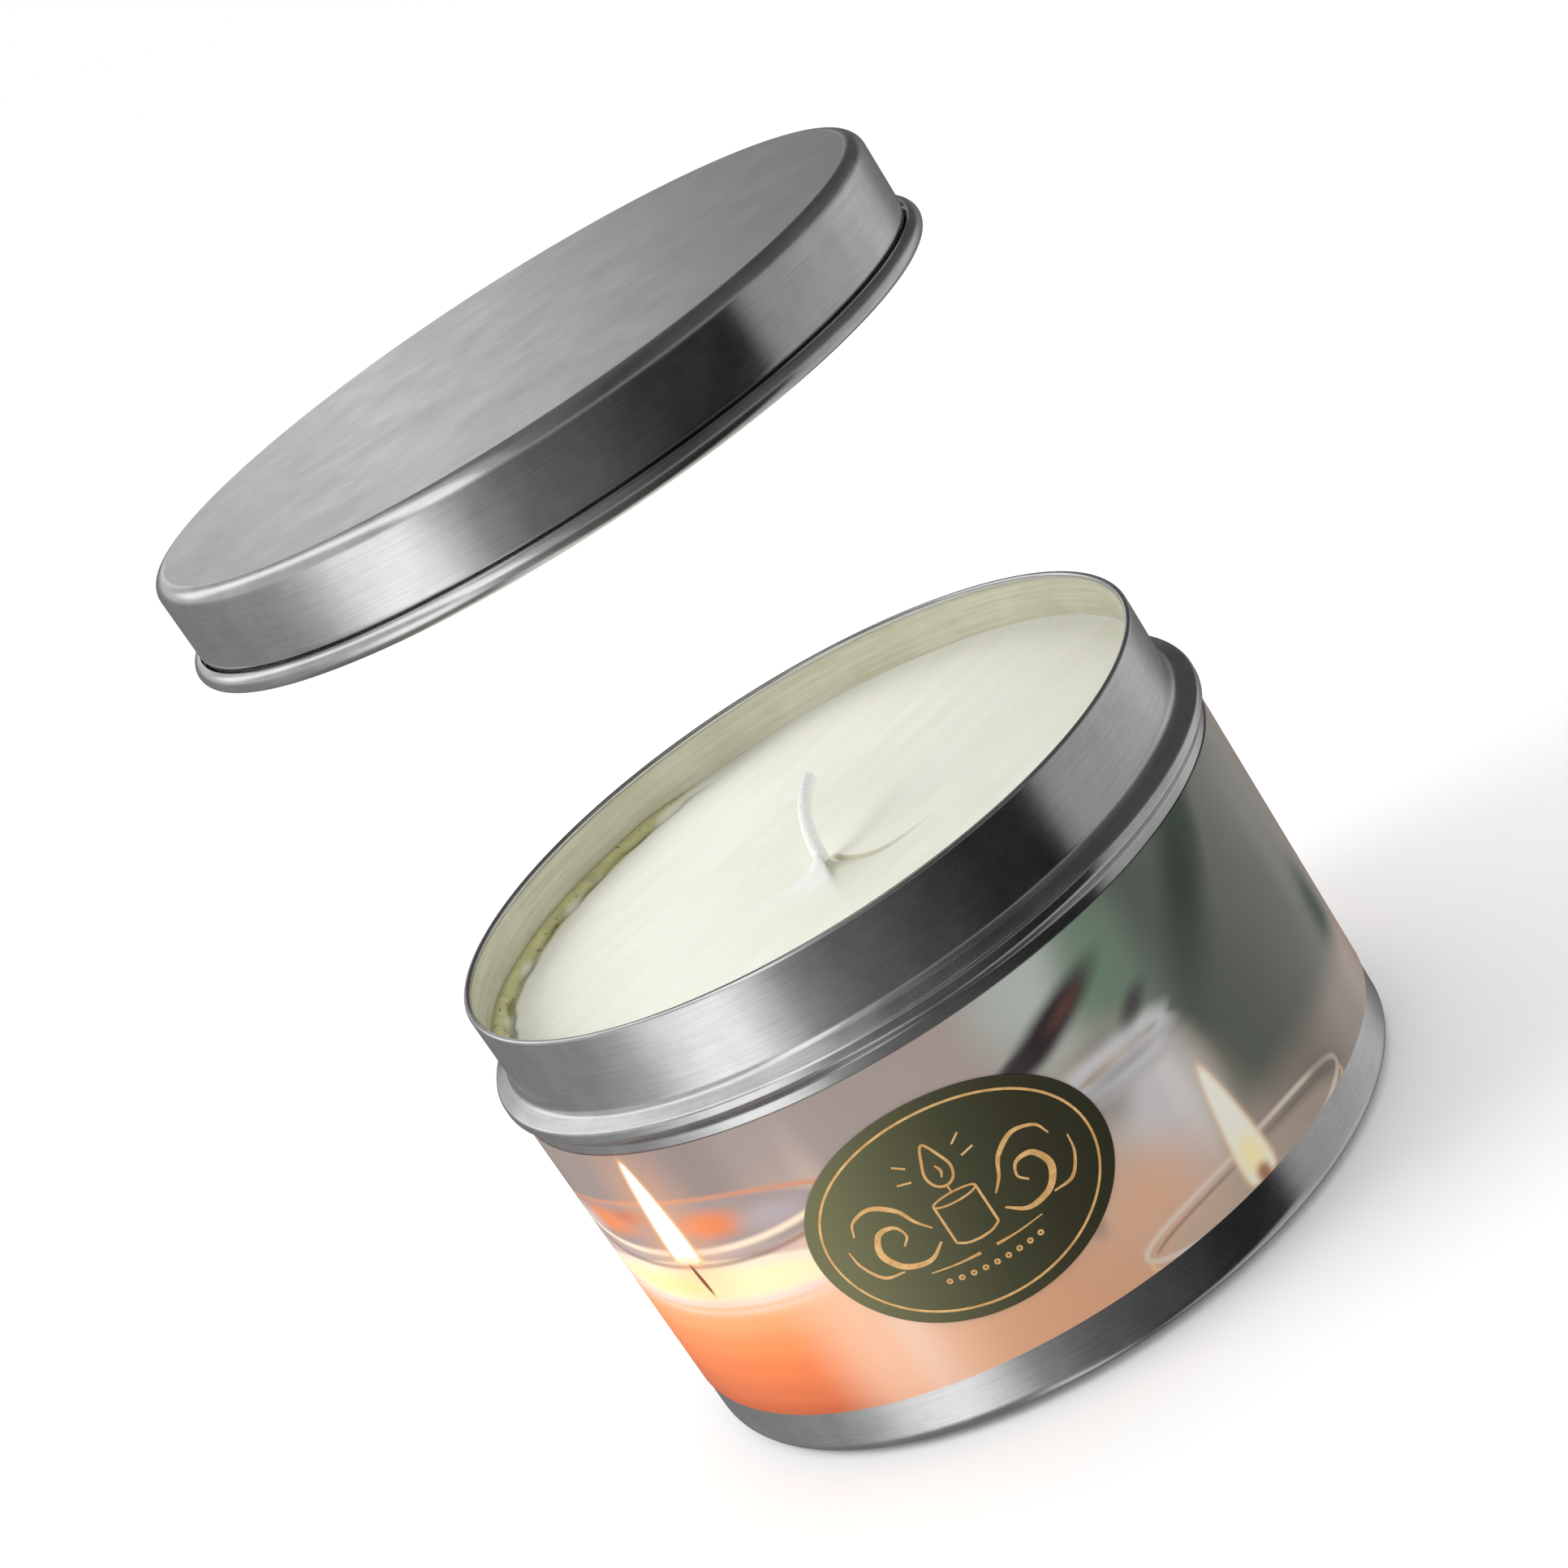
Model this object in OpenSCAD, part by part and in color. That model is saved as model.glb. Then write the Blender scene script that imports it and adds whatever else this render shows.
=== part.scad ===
// Round candle tin: a drawn seamless tin with a slip lid, poured wax, a cored wick and two printed labels.
// The origin is the centre of the base, on the surface the tin stands on, with +Z up.
// The front, where the oval sticker sits, faces -Y. The lid is drawn lifted off, straight above the tin.

/* [Tin] */
// Outside diameter of the shoulder, the widest part of the body
body_d = 78; // [55:0.5:110]
// Height of the shoulder's outer edge
shoulder_h = 40.2; // [24:0.1:80]
// Thickness of the tinplate sheet
sheet = 0.3; // [0.22:0.01:0.35]
// Outside radius of the corner round the base
base_corner_r = 1.75; // [1:0.05:3]
// Width of the flat ring that the tin stands on
stand_ring_w = 6; // [3:0.5:10]
// Height that the middle of the base is pressed up
base_recess = 0.6; // [0.3:0.05:1.2]

/* [Shoulder, neck and rim] */
// How far the shoulder stands out from the wall below it
shoulder_out = 0.95; // [0.5:0.05:1]
// Height of the shoulder's upright outer face
shoulder_face_h = 0.5; // [0.3:0.05:1]
// Height over which the shoulder draws in to the wall below it
shoulder_under_h = 1.45; // [1.45:0.05:2]
// Radius of the shoulder's outer edge
shoulder_edge_r = 0.4; // [0.4:0.05:0.6]
// Slope of the shoulder, rising to the foot of the neck, in degrees
shoulder_slope = 22; // [10:1:30]
// How far the neck steps in from the shoulder
neck_step = 2.1; // [1.9:0.05:3]
// Height of the rim above the shoulder's outer edge
neck_h = 8.95; // [6:0.05:14]
// Radius of the hollow fillet at the foot of the neck
neck_foot_r = 0.9; // [0.6:0.05:1]
// Outside radius of the rim, which is rolled inwards
rim_r = 0.35; // [0.35:0.05:0.8]

/* [Lid] */
// Gap from the neck to the mouth of the lid, on the radius
lid_clearance = 0.2; // [0.1:0.05:0.4]
// Gap from the rim up to the underside of the closed lid
lid_headroom = 1.25; // [0.8:0.05:3]
// Diameter of the open curl round the mouth of the lid
curl_d = 1.9; // [1.5:0.05:2.6]
// How far the curl stands in from the inside of the skirt
curl_inset = 0.5; // [0.2:0.05:0.7]
// Outside radius of the lid's top corner
lid_corner_r = 1.5; // [1:0.05:2.5]
// Height that the lid is lifted above its seat
lid_lift = 49; // [20:1:80]
// Gap between the seated curl and the shoulder
seat_gap = 0.05; // [0.02:0.01:0.2]

/* [Labels] */
// Height of the wrap label's lower edge above the base
label_bottom = 5.6; // [3.5:0.1:8]
// Bare band from the wrap label's upper edge to the shoulder's outer edge
label_top_margin = 3.2; // [2.8:0.1:6]
// Thickness of the wrap label and of the sticker
label_t = 0.1; // [0.05:0.01:0.2]
// Width of the wrap label's overlap at the back
overlap_w = 6; // [3:0.5:12]
// Width of the oval sticker, measured round the tin
sticker_w = 29.4; // [15:0.2:40]
// Height of the oval sticker
sticker_h = 22; // [12:0.2:26]
// Adhesive gap under each label
glue_gap = 0.03; // [0.01:0.01:0.05]

/* [Wax] */
// Depth of the wax surface below the rim
headspace = 5.5; // [3:0.1:8]
// Gap between the wax and what it is poured against
wax_gap = 0.05; // [0.02:0.01:0.1]

/* [Wick] */
// Diameter of the waxed braid
wick_d = 1.5; // [1.2:0.1:2.5]
// Diameter of the paper core
wick_core_d = 0.6; // [0.4:0.05:0.8]
// Where the wick leaves the wax, to the right of the middle
wick_exit_x = 0.6; // [-4:0.1:4]
// Where the wick leaves the wax, in front of the middle
wick_exit_y = -6.8; // [-12:0.1:12]
// How far back the wick's free end leans from its exit
wick_lean = 8.4; // [2:0.2:14]
// How far to the right the wick's free end leans from its exit
wick_sway = 1.7; // [0:0.1:4]
// Gap between the wick's tip and the closed lid
wick_lid_clearance = 0.5; // [0.3:0.1:2]
// Diameter of the sustainer's disc
sustainer_d = 15; // [10:0.5:20]
// Outside diameter of the sustainer's crimped neck
crimp_d = 2.6; // [2.4:0.1:4]
// Height of the sustainer's crimped neck
crimp_h = 3.5; // [2.5:0.1:5]
// Thickness of the sustainer's sheet
sustainer_t = 0.3; // [0.2:0.05:0.4]
// Diameter of the adhesive foam pad
pad_d = 13; // [8:0.5:18]
// Thickness of the adhesive foam pad
pad_t = 0.8; // [0.5:0.1:1.5]
// Gap between the wick and what it passes through
wick_gap = 0.05; // [0.02:0.01:0.1]

/* [Hidden] */
$fn = 96;

body_r = body_d / 2;
wall_r = body_r - shoulder_out;
neck_r = body_r - neck_step;
rim_z = shoulder_h + neck_h;
curl_r = curl_d / 2;
curl_mid_r = neck_r + lid_clearance + curl_r;        // middle of the lid's curl
skirt_in_r = neck_r + lid_clearance + curl_inset;    // inside of the lid's straight skirt
face_top_z = shoulder_h - shoulder_edge_r * cos(shoulder_slope);
face_low_z = face_top_z - shoulder_face_h;
edge_end_r = body_r - shoulder_edge_r * (1 - sin(shoulder_slope));    // where the slope starts
foot_start_r = neck_r + neck_foot_r * (1 - sin(shoulder_slope));      // where the slope ends
foot_mid_z = shoulder_z(foot_start_r) + neck_foot_r * cos(shoulder_slope);
// underside of the curl when the lid is on, where it rests on the slope
seat_z = shoulder_z(curl_mid_r) + (curl_r + seat_gap) / cos(shoulder_slope) - curl_r;
lid_ceiling_z = rim_z + lid_headroom;                // underside of the closed lid
lid_h = lid_ceiling_z + sheet - seat_z;              // the whole lid, from curl to top
wax_z = rim_z - headspace;
label_top = shoulder_h - label_top_margin;
label_in_r = wall_r + glue_gap;
label_out_r = label_in_r + label_t;
sticker_mid_z = (label_bottom + label_top) / 2;
floor_z = base_recess + sheet;                       // inside face of the base's middle
pad_z = floor_z + wax_gap;
disc_z = pad_z + pad_t + wax_gap;
wick_r = wick_d / 2;
core_r = wick_core_d / 2;
wick_start_z = disc_z + sustainer_t;
crimp_top_z = disc_z + sustainer_t + crimp_h;

// Height of the shoulder's slope at radius r
function shoulder_z(r) = shoulder_h + (edge_end_r - r) * tan(shoulder_slope);

// ---- outlines, as points of [radius, height] ----

// An arc of n steps from angle a to angle b
function arc(r, z, rad, a, b, n = 8) =
    [for (i = [0:n]) [r + rad * cos(a + (b - a) * i / n), z + rad * sin(a + (b - a) * i / n)]];

// A smooth step from one point to another, level with the axis at both ends
function ease(r0, z0, r1, z1, n = 6) =
    [for (i = [0:n]) [r0 + (r1 - r0) * (1 - cos(180 * i / n)) / 2, z0 + (z1 - z0) * i / n]];

function unit(v) = v / norm(v);
function left_of(v) = [-v[1], v[0]];

// The same line moved t to its left, with mitred corners
function beside(p, t) = [for (i = [0:len(p) - 1])
    let (before = unit(p[max(i, 1)] - p[max(i, 1) - 1]),
         after = unit(p[min(i, len(p) - 2) + 1] - p[min(i, len(p) - 2)]),
         n = left_of(unit(before + after)))
    p[i] + n * t / (n * left_of(before))];

function reversed(p) = [for (i = [len(p) - 1:-1:0]) p[i]];

// A sheet of thickness t that follows a line on its left side
module drawn_sheet(line, t) rotate_extrude() polygon(concat(line, reversed(beside(line, t))));

// Outside of the tin, from the middle of the base to the outer end of the shoulder's slope
tin_lower = concat(
    [[0, base_recess], [wall_r - base_corner_r - stand_ring_w - base_recess, base_recess],
     [wall_r - base_corner_r - stand_ring_w, 0]],
    arc(wall_r - base_corner_r, base_corner_r, base_corner_r, -90, 0),
    ease(wall_r, face_low_z - shoulder_under_h, body_r, face_low_z, 12),
    arc(body_r - shoulder_edge_r, face_top_z, shoulder_edge_r, 0, 90 - shoulder_slope));

// Outside of the neck, from the inner end of the slope up to where the rim starts
tin_neck = concat(
    arc(neck_r + neck_foot_r, foot_mid_z, neck_foot_r, 270 - shoulder_slope, 180),
    [[neck_r, rim_z - rim_r - 0.01]]);

tin_rim = arc(neck_r - rim_r, rim_z - rim_r, rim_r, 0, 250, 20);

// Inside of the lid, from the middle of the top to the end of the curl
lid_line = concat(
    [[0, lid_h - sheet]],
    arc(skirt_in_r + sheet - lid_corner_r, lid_h - lid_corner_r, lid_corner_r - sheet, 90, 0),
    ease(skirt_in_r, 1.4 * curl_d, curl_mid_r - curl_r, curl_r + 0.01),
    arc(curl_mid_r, curl_r, curl_r, 180, 450, 24));

// ---- the wick's route: up through the crimp, slanting to its exit, then leaning back ----

wick_exit = [wick_exit_x, wick_exit_y, wax_z];
wick_tip = [wick_exit_x + wick_sway, wick_exit_y + wick_lean, lid_ceiling_z - wick_lid_clearance - wick_r];
wick_pull = wick_exit + [-wick_sway * 0.25, wick_lean * 0.26, (wick_tip[2] - wax_z) * 0.9];

// A point on the leaning free end, from the exit at s = 0 to the tip at s = 1
function free_end(s) = (1 - s) * (1 - s) * wick_exit + 2 * s * (1 - s) * wick_pull + s * s * wick_tip;

wick_route = concat(
    [[0, 0, wick_start_z], [0, 0, crimp_top_z]],
    [for (s = [0:0.1:1]) free_end(s)]);

function cross_unit(a, b) = unit(cross(a, b));

// A ring of n points of radius r round route point i
function ring(p, i, r, n) =
    let (along = unit(p[min(i + 1, len(p) - 1)] - p[max(i - 1, 0)]),
         side = cross_unit(along, [0, 1, 0]),
         other = cross(along, side))
    [for (k = [0:n - 1]) p[i] + r * (cos(360 * k / n) * side + sin(360 * k / n) * other)];

// A solid cord of radius r along route p
module cord(p, r, n = 10) {
    rings = [for (i = [0:len(p) - 1]) each ring(p, i, r, n)];
    walls = [for (i = [0:len(p) - 2]) for (k = [0:n - 1])
        [i * n + k, i * n + (k + 1) % n, (i + 1) * n + (k + 1) % n, (i + 1) * n + k]];
    first = [for (k = [n - 1:-1:0]) k];
    last = [for (k = [0:n - 1]) (len(p) - 1) * n + k];
    polyhedron(points = rings, faces = concat([first], walls, [last]));
}

// A hollow cord: the outer and inner walls, joined by a ring of faces at each end
module hollow_cord(p, r_out, r_in, n = 10) {
    m = len(p) * n;
    points = [for (r = [r_out, r_in]) for (i = [0:len(p) - 1]) each ring(p, i, r, n)];
    outer = [for (i = [0:len(p) - 2]) for (k = [0:n - 1])
        [i * n + k, i * n + (k + 1) % n, (i + 1) * n + (k + 1) % n, (i + 1) * n + k]];
    inner = [for (f = outer) [m + f[3], m + f[2], m + f[1], m + f[0]]];
    foot = [for (k = [0:n - 1]) [m + k, m + (k + 1) % n, (k + 1) % n, k]];
    top = m - n;
    tip = [for (k = [0:n - 1]) [top + k, top + (k + 1) % n, m + top + (k + 1) % n, m + top + k]];
    polyhedron(points = points, faces = concat(outer, inner, foot, tip));
}

// A straight round bar of radius r between two points
module bar(a, b, r) {
    d = b - a;
    translate(a) rotate([0, acos(d[2] / norm(d)), atan2(d[1], d[0])]) cylinder(r = r, h = norm(d));
}

// ---- the pieces ----

// Seamless drawn body: base, wall, shoulder, neck and rolled rim in one sheet
module tin_body() {
    color("silver") drawn_sheet(concat(tin_lower, tin_neck, tin_rim), sheet);
}

// Drawn slip lid with an open curl round its mouth
module lid() {
    color("gainsboro") translate([0, 0, seat_z + lid_lift]) drawn_sheet(lid_line, sheet);
}

// Printed wrap label, with its two ends overlapping at the back
module wrap_label() {
    overlap_angle = overlap_w / wall_r * 180 / PI;
    color("rosybrown") translate([0, 0, label_bottom]) linear_extrude(height = label_top - label_bottom) {
        difference() {
            circle(r = label_out_r);
            circle(r = label_in_r);
        }
        intersection() {
            difference() {
                circle(r = label_out_r + label_t);
                circle(r = label_out_r - label_t / 2);
            }
            rotate(90) polygon([[0, 0], body_r * 1.5 * [cos(overlap_angle / 2), -sin(overlap_angle / 2)],
                                body_r * 1.5 * [cos(overlap_angle / 2), sin(overlap_angle / 2)]]);
        }
    }
}

// Oval sticker, bent round the front of the wrap label
module oval_sticker() {
    in_r = label_out_r + glue_gap;
    outline = [for (a = [0:5:355])
        [in_r * sin(sticker_w / 2 * cos(a) / in_r * 180 / PI), sticker_mid_z + sticker_h / 2 * sin(a)]];
    color("darkolivegreen") intersection() {
        rotate_extrude() translate([in_r, label_bottom]) square([label_t, label_top - label_bottom]);
        rotate([90, 0, 0]) linear_extrude(height = 2 * body_r) polygon(outline);
    }
}

// Poured wax: it fills the tin to its level, round the wick, the sustainer and the pad
module wax_fill() {
    inside = beside(concat(tin_lower, tin_neck), sheet + wax_gap);
    column = concat([for (p = inside) if (p[1] < wax_z) p],
                    [[neck_r - sheet - wax_gap, wax_z], [0, wax_z]]);
    crimp_clear_r = crimp_d / 2 + wax_gap;
    passage_r = wick_r + wick_gap;
    color("ivory") difference() {
        rotate_extrude() polygon(column);
        cylinder(r = max(pad_d, sustainer_d) / 2 + wax_gap, h = disc_z + sustainer_t + wax_gap);
        cylinder(r = crimp_clear_r, h = crimp_top_z + wax_gap);
        bar([0, 0, crimp_top_z], wick_exit, passage_r);
        translate([0, 0, crimp_top_z]) sphere(r = crimp_clear_r);
        translate(wick_exit) sphere(r = passage_r * 1.25);
    }
}

// Braided cotton sleeve of the wick
module wick_braid() {
    color("white") hollow_cord(wick_route, wick_r, core_r + wick_gap);
}

// Paper core of the wick
module wick_core() {
    color("antiquewhite") cord(wick_route, core_r);
}

// Pressed steel sustainer: a disc with a crimped neck that grips the wick
module wick_sustainer() {
    color("lightgray") difference() {
        union() {
            translate([0, 0, disc_z]) cylinder(r = sustainer_d / 2, h = sustainer_t);
            translate([0, 0, disc_z]) cylinder(r = crimp_d / 2, h = sustainer_t + crimp_h);
        }
        translate([0, 0, wick_start_z - wick_gap]) cylinder(r = wick_r + 2 * wick_gap, h = crimp_h + 1);
    }
}

// Double-sided foam pad that holds the sustainer to the base
module wick_adhesive_pad() {
    color("white") translate([0, 0, pad_z]) cylinder(r = pad_d / 2, h = pad_t);
}

tin_body();
lid();
wrap_label();
oval_sticker();
wax_fill();
wick_braid();
wick_core();
wick_sustainer();
wick_adhesive_pad();
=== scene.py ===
"""Looks of a round candle tin with its slip lid lifted off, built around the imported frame."""
import math

import bmesh
import bpy
import numpy as np
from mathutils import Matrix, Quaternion, Vector


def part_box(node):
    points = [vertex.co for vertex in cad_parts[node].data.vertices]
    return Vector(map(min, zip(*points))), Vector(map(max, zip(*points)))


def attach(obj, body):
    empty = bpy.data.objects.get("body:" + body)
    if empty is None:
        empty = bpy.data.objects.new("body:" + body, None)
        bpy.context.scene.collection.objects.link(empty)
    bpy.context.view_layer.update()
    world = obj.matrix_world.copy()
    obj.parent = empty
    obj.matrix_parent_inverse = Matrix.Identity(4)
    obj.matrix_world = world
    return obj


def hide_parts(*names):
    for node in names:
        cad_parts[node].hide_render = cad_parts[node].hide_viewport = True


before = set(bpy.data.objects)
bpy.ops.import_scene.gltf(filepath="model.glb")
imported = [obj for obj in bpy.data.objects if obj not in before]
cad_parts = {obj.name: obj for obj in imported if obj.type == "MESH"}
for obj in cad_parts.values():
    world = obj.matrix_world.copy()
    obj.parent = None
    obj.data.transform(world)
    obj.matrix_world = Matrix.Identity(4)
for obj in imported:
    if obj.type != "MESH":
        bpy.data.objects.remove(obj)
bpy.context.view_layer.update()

# ---------------------------------------------------------------- sizes, in metres

MM = 0.001
tin_low, tin_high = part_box("tin_body")
lid_low, lid_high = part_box("lid")
wax_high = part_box("wax_fill")[1]
label_low, label_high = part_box("wrap_label")

HAIR = 0.01 * MM                        # a gap too small to see
BODY_R = round((tin_high[0] - tin_low[0]) / 2 - HAIR, 5)        # at the shoulder
RIM_Z = tin_high[2]
LID_Z = lid_low[2]
LID_H = lid_high[2] - lid_low[2]
WAX_Z = wax_high[2]

SHEET = 0.3 * MM
BASE_CORNER_R = 1.75 * MM
STAND_RING_W = 6 * MM
BASE_RECESS = 0.6 * MM
SHOULDER_Z = 40.2 * MM
SHOULDER_OUT = 0.95 * MM                # how far it stands out from the wall
SHOULDER_EDGE_R = 0.4 * MM
SHOULDER_FACE_H = 0.5 * MM
SHOULDER_UNDER_H = 1.45 * MM
SHOULDER_SLOPE = 22                     # degrees
NECK_STEP = 2.1 * MM                    # from the shoulder's edge in to the neck
NECK_FOOT_R = 0.9 * MM
RIM_R = 0.35 * MM
CURL_R = 0.95 * MM
MOUTH_PLAY = 0.2 * MM                   # between the neck and the lid's mouth
SKIRT_OUT = 0.5 * MM                    # from the lid's mouth out to its skirt
LID_CORNER_R = 1.5 * MM
WALL_R = BODY_R - SHOULDER_OUT
NECK_R = BODY_R - NECK_STEP
MOUTH_R = NECK_R + MOUTH_PLAY
SKIRT_R = MOUTH_R + SKIRT_OUT
ROUND = 2 * math.pi * WALL_R            # once round the wall
GLUE = 0.03 * MM
FILM = 0.1 * MM
OVERLAP_W = 6 * MM
STICKER_W = 29.4 * MM
STICKER_H = 22 * MM
STICKER_Z = (label_low[2] + label_high[2]) / 2
STICKER_IN = WALL_R + GLUE + FILM + GLUE
STICKER_OUT = STICKER_IN + 0.78 * FILM  # the gold print takes the rest of the film's thickness
WICK_EXIT = Vector((0.6 * MM, -6.8 * MM, WAX_Z))
WICK_R = 0.75 * MM
CRIMP_H = 3.5 * MM


# ---------------------------------------------------------------- outlines of [radius, height]

def arc(r, z, radius, start, end, steps=12):
    """Points on an arc, from one angle to another in degrees."""
    turn = np.radians(np.linspace(start, end, steps + 1))
    return [(r + radius * math.cos(a), z + radius * math.sin(a)) for a in turn]


def ease(r0, z0, r1, z1, steps=10):
    """A smooth step that starts and ends level with the axis."""
    share = np.linspace(0, 1, steps + 1)
    return [(r0 + (r1 - r0) * (1 - math.cos(math.pi * t)) / 2, z0 + (z1 - z0) * t) for t in share]


def held(line, hold=0.04 * MM, longest=0.5 * MM):
    """Adds a point close to each end of every long straight stretch, so that it shades flat."""
    out = [line[0]]
    for a, b in zip(line, line[1:]):
        a, b = Vector(a), Vector(b)
        along = b - a
        if along.length > longest:
            out += [tuple(a + along.normalized() * hold), tuple(b - along.normalized() * hold)]
        out.append(tuple(b))
    return out


def beside(line, gap):
    """The same line moved to its left, with mitred corners."""
    points = np.array(line)
    steps = np.diff(points, axis=0)
    steps /= np.linalg.norm(steps, axis=1)[:, None]
    before = np.vstack([steps[:1], steps])
    after = np.vstack([steps, steps[-1:]])
    middle = before + after
    middle /= np.linalg.norm(middle, axis=1)[:, None]
    left = np.column_stack([-middle[:, 1], middle[:, 0]])
    square = np.column_stack([-before[:, 1], before[:, 0]])
    moved = points + left * (gap / (left * square).sum(1))[:, None]
    return [tuple(p) for p in moved]


def tin_line():
    """Outside of the tin, from the middle of its base to the end of its rolled rim."""
    ring_r = WALL_R - BASE_CORNER_R - STAND_RING_W
    slope = math.radians(SHOULDER_SLOPE)
    face_top = SHOULDER_Z - SHOULDER_EDGE_R * math.cos(slope)
    face_low = face_top - SHOULDER_FACE_H
    run = BODY_R - SHOULDER_EDGE_R * (1 - math.sin(slope)) - NECK_R - NECK_FOOT_R * (1 - math.sin(slope))
    foot_mid = SHOULDER_Z + run * math.tan(slope) + NECK_FOOT_R * math.cos(slope)
    line = [(0, BASE_RECESS)]
    line += arc(ring_r - BASE_RECESS, BASE_RECESS / 2, BASE_RECESS / 2, 90, 0, 6)
    line += arc(ring_r + BASE_RECESS / 2, BASE_RECESS / 2, BASE_RECESS / 2, 180, 270, 6)
    line += arc(WALL_R - BASE_CORNER_R, BASE_CORNER_R, BASE_CORNER_R, -90, 0, 16)
    line += ease(WALL_R, face_low - SHOULDER_UNDER_H, BODY_R, face_low, 16)
    line += arc(BODY_R - SHOULDER_EDGE_R, face_top, SHOULDER_EDGE_R, 0, 90 - SHOULDER_SLOPE, 14)
    line += arc(NECK_R + NECK_FOOT_R, foot_mid, NECK_FOOT_R, 270 - SHOULDER_SLOPE, 180, 18)
    line += arc(NECK_R - RIM_R, RIM_Z - RIM_R, RIM_R, 0, 250, 30)
    return held(line)


def lid_line():
    """Inside of the lid, from the middle of its top to the end of its curl."""
    curl_mid = MOUTH_R + CURL_R
    line = [(0, LID_H - SHEET)]
    line += arc(SKIRT_R + SHEET - LID_CORNER_R, LID_H - LID_CORNER_R, LID_CORNER_R - SHEET, 90, 0, 14)
    line += ease(SKIRT_R, 2.8 * CURL_R, MOUTH_R, CURL_R + 0.02 * MM, 12)
    line += arc(curl_mid, CURL_R, CURL_R, 180, 450, 36)
    return [(r, z + LID_Z) for r, z in held(line)]


# ---------------------------------------------------------------- meshes

def add_to_scene(name, data):
    """Links a new object with this mesh, curve, lamp or camera."""
    item = bpy.data.objects.new(name, data)
    bpy.context.scene.collection.objects.link(item)
    return item


def face_out(mesh, sharp):
    """Turns the faces outwards and shades them smooth, but for edges sharper than so many degrees."""
    work = bmesh.new()
    work.from_mesh(mesh)
    bmesh.ops.recalc_face_normals(work, faces=work.faces)
    work.to_mesh(mesh)
    work.free()
    mesh.polygons.foreach_set("use_smooth", [True] * len(mesh.polygons))
    mesh.set_sharp_from_angle(angle=math.radians(sharp))


def finish_mesh(name, verts, faces, materials, sharp=35, uv=None, part=None):
    """A piece with its materials; part is each face's material, and uv each corner's place."""
    mesh = bpy.data.meshes.new(name)
    mesh.from_pydata([tuple(v) for v in verts], [], [tuple(f) for f in faces])
    if uv is not None:
        layer = mesh.uv_layers.new(name="UVMap")
        layer.data.foreach_set("uv", np.asarray(uv, dtype=np.float32).ravel())
    if part is not None:
        mesh.polygons.foreach_set("material_index", np.asarray(part, dtype=np.int32))
    face_out(mesh, sharp)
    for material in materials:
        mesh.materials.append(material)
    return add_to_scene(name, mesh)


def around(step, steps):
    """Angle of a step round the tin, from the back, so that the front is the middle of the UV map."""
    return math.pi / 2 + 2 * math.pi * step / steps


def lathe(name, line, materials, steps=240, wax_reflection_limits=None):
    """Turns an outline that starts and ends on the axis.

    Level faces take the second material. Those inside the wax reflection limits, which are the least and
    greatest radius and then height, take the third, which has the wax's reflection painted on.
    """
    verts, rows = [], []
    for r, z in line:
        if r < 1e-7:
            rows.append([len(verts)] * (steps + 1))
            verts.append((0, 0, z))
            continue
        first = len(verts)
        turns = [around(k, steps) for k in range(steps)]
        verts += [(r * math.cos(a), r * math.sin(a), z) for a in turns]
        rows.append([first + k for k in range(steps)] + [first])
    travel = np.concatenate([[0], np.cumsum(np.linalg.norm(np.diff(np.array(line), axis=0), axis=1))])
    faces, uv, part = [], [], []
    for i in range(len(line) - 1):
        run = abs(line[i + 1][0] - line[i][0])
        rise = abs(line[i + 1][1] - line[i][1])
        level = rise < 0.2 * run and run > 2 * MM
        finish = 1 if level else 0
        # faces inside these limits take the third material, with the wax's reflection painted on
        if wax_reflection_limits and wax_reflection_limits[0] < line[i][0] < wax_reflection_limits[1] and wax_reflection_limits[2] < line[i][1] < wax_reflection_limits[3]:
            finish = 2
        for k in range(steps):
            corners = [(i, k), (i, k + 1), (i + 1, k + 1), (i + 1, k)]
            if rows[i][k] == rows[i][k + 1]:
                corners.pop(1)
            elif rows[i + 1][k] == rows[i + 1][k + 1]:
                corners.pop(2)
            face = [rows[a][b] for a, b in corners]
            faces.append(face)
            part.append(finish)
            if level:
                uv += [(0.5 + verts[v][0] / ROUND, 0.5 + verts[v][1] / ROUND) for v in face]
            else:
                uv += [(b / steps, travel[a] / ROUND) for a, b in corners]
    return finish_mesh(name, verts, faces, materials, uv=uv, part=part)


def on_tin(s, z, r):
    """The point at radius r and height z, a distance s round the tin to the right of the front."""
    a = -math.pi / 2 + s / WALL_R
    return (r * math.cos(a), r * math.sin(a), z)


# ---------------------------------------------------------------- node helpers

def srgb(r, g, b):
    """A display colour of 0 to 255 as a linear colour."""
    shares = [c / 255 for c in (r, g, b)]
    return tuple(c / 12.92 if c <= 0.04 else ((c + 0.055) / 1.055) ** 2.4 for c in shares) + (1.0,)


def grey(level):
    return (level, level, level, 1.0)


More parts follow.
